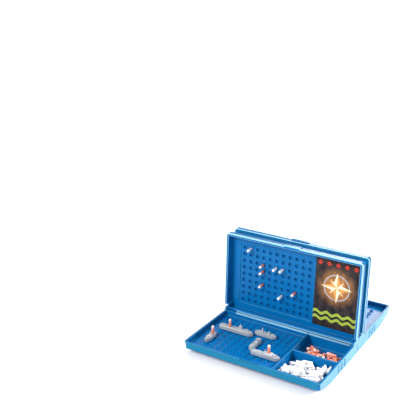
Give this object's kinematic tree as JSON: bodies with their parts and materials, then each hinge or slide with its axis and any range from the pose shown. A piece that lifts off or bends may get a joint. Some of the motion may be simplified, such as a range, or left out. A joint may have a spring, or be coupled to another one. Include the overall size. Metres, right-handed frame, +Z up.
{
  "type": "fleet guessing case",
  "caption": "Pair of hinged plastic game cases back to back, each with a pegged sea grid, a target grid in its lid, model ships and peg trays.",
  "frame": {"origin": "on the table, midway between the two cases", "axes": "+X along the hinges, +Y from the front player to the rear player, +Z up"},
  "size_m": [0.2452, 0.3152, 0.1672],
  "materials": {
    "blue_case": "moulded, satin gloss",
    "grey_ship": "moulded, slightly translucent",
    "red_peg": "moulded, glossy",
    "white_peg": "moulded, glossy",
    "printed_card": "printed, semi-matt"
  },
  "bodies": {
    "front_case": {"front_base": "blue_case", "front_carrier": "grey_ship", "front_battleship": "grey_ship", "front_cruiser": "grey_ship", "front_submarine": "grey_ship", "front_patrol_boat": "grey_ship", "front_ship_pegs": "red_peg", "front_white_tray_pegs": "white_peg", "front_red_tray_pegs": "red_peg"},
    "front_lid_shell": {"front_lid": "blue_case", "front_dash_card": "printed_card", "front_miss_pegs": "white_peg", "front_hit_pegs": "red_peg"},
    "rear_case": {"rear_base": "blue_case", "rear_carrier": "grey_ship", "rear_battleship": "grey_ship", "rear_cruiser": "grey_ship", "rear_submarine": "grey_ship", "rear_patrol_boat": "grey_ship", "rear_ship_pegs": "red_peg", "rear_white_tray_pegs": "white_peg", "rear_red_tray_pegs": "red_peg"},
    "rear_lid_shell": {"rear_lid": "blue_case", "rear_dash_card": "printed_card", "rear_miss_pegs": "white_peg", "rear_hit_pegs": "red_peg"}
  },
  "joints": [
    {"name": "front_lid_hinge", "type": "hinge", "parent": "front_case", "child": "front_lid_shell", "pos_m": [0, -0.017, 0.025], "axis": [1, 0, 0], "range_deg": [0, 90]},
    {"name": "rear_case_slide", "type": "slide", "parent": "front_case", "child": "rear_case", "axis": [0, 1, 0], "range_m": [0, 0.1]},
    {"name": "rear_lid_hinge", "type": "hinge", "parent": "rear_case", "child": "rear_lid_shell", "pos_m": [0, 0.017, 0.025], "axis": [-1, 0, 0], "range_deg": [0, 90]}
  ]
}
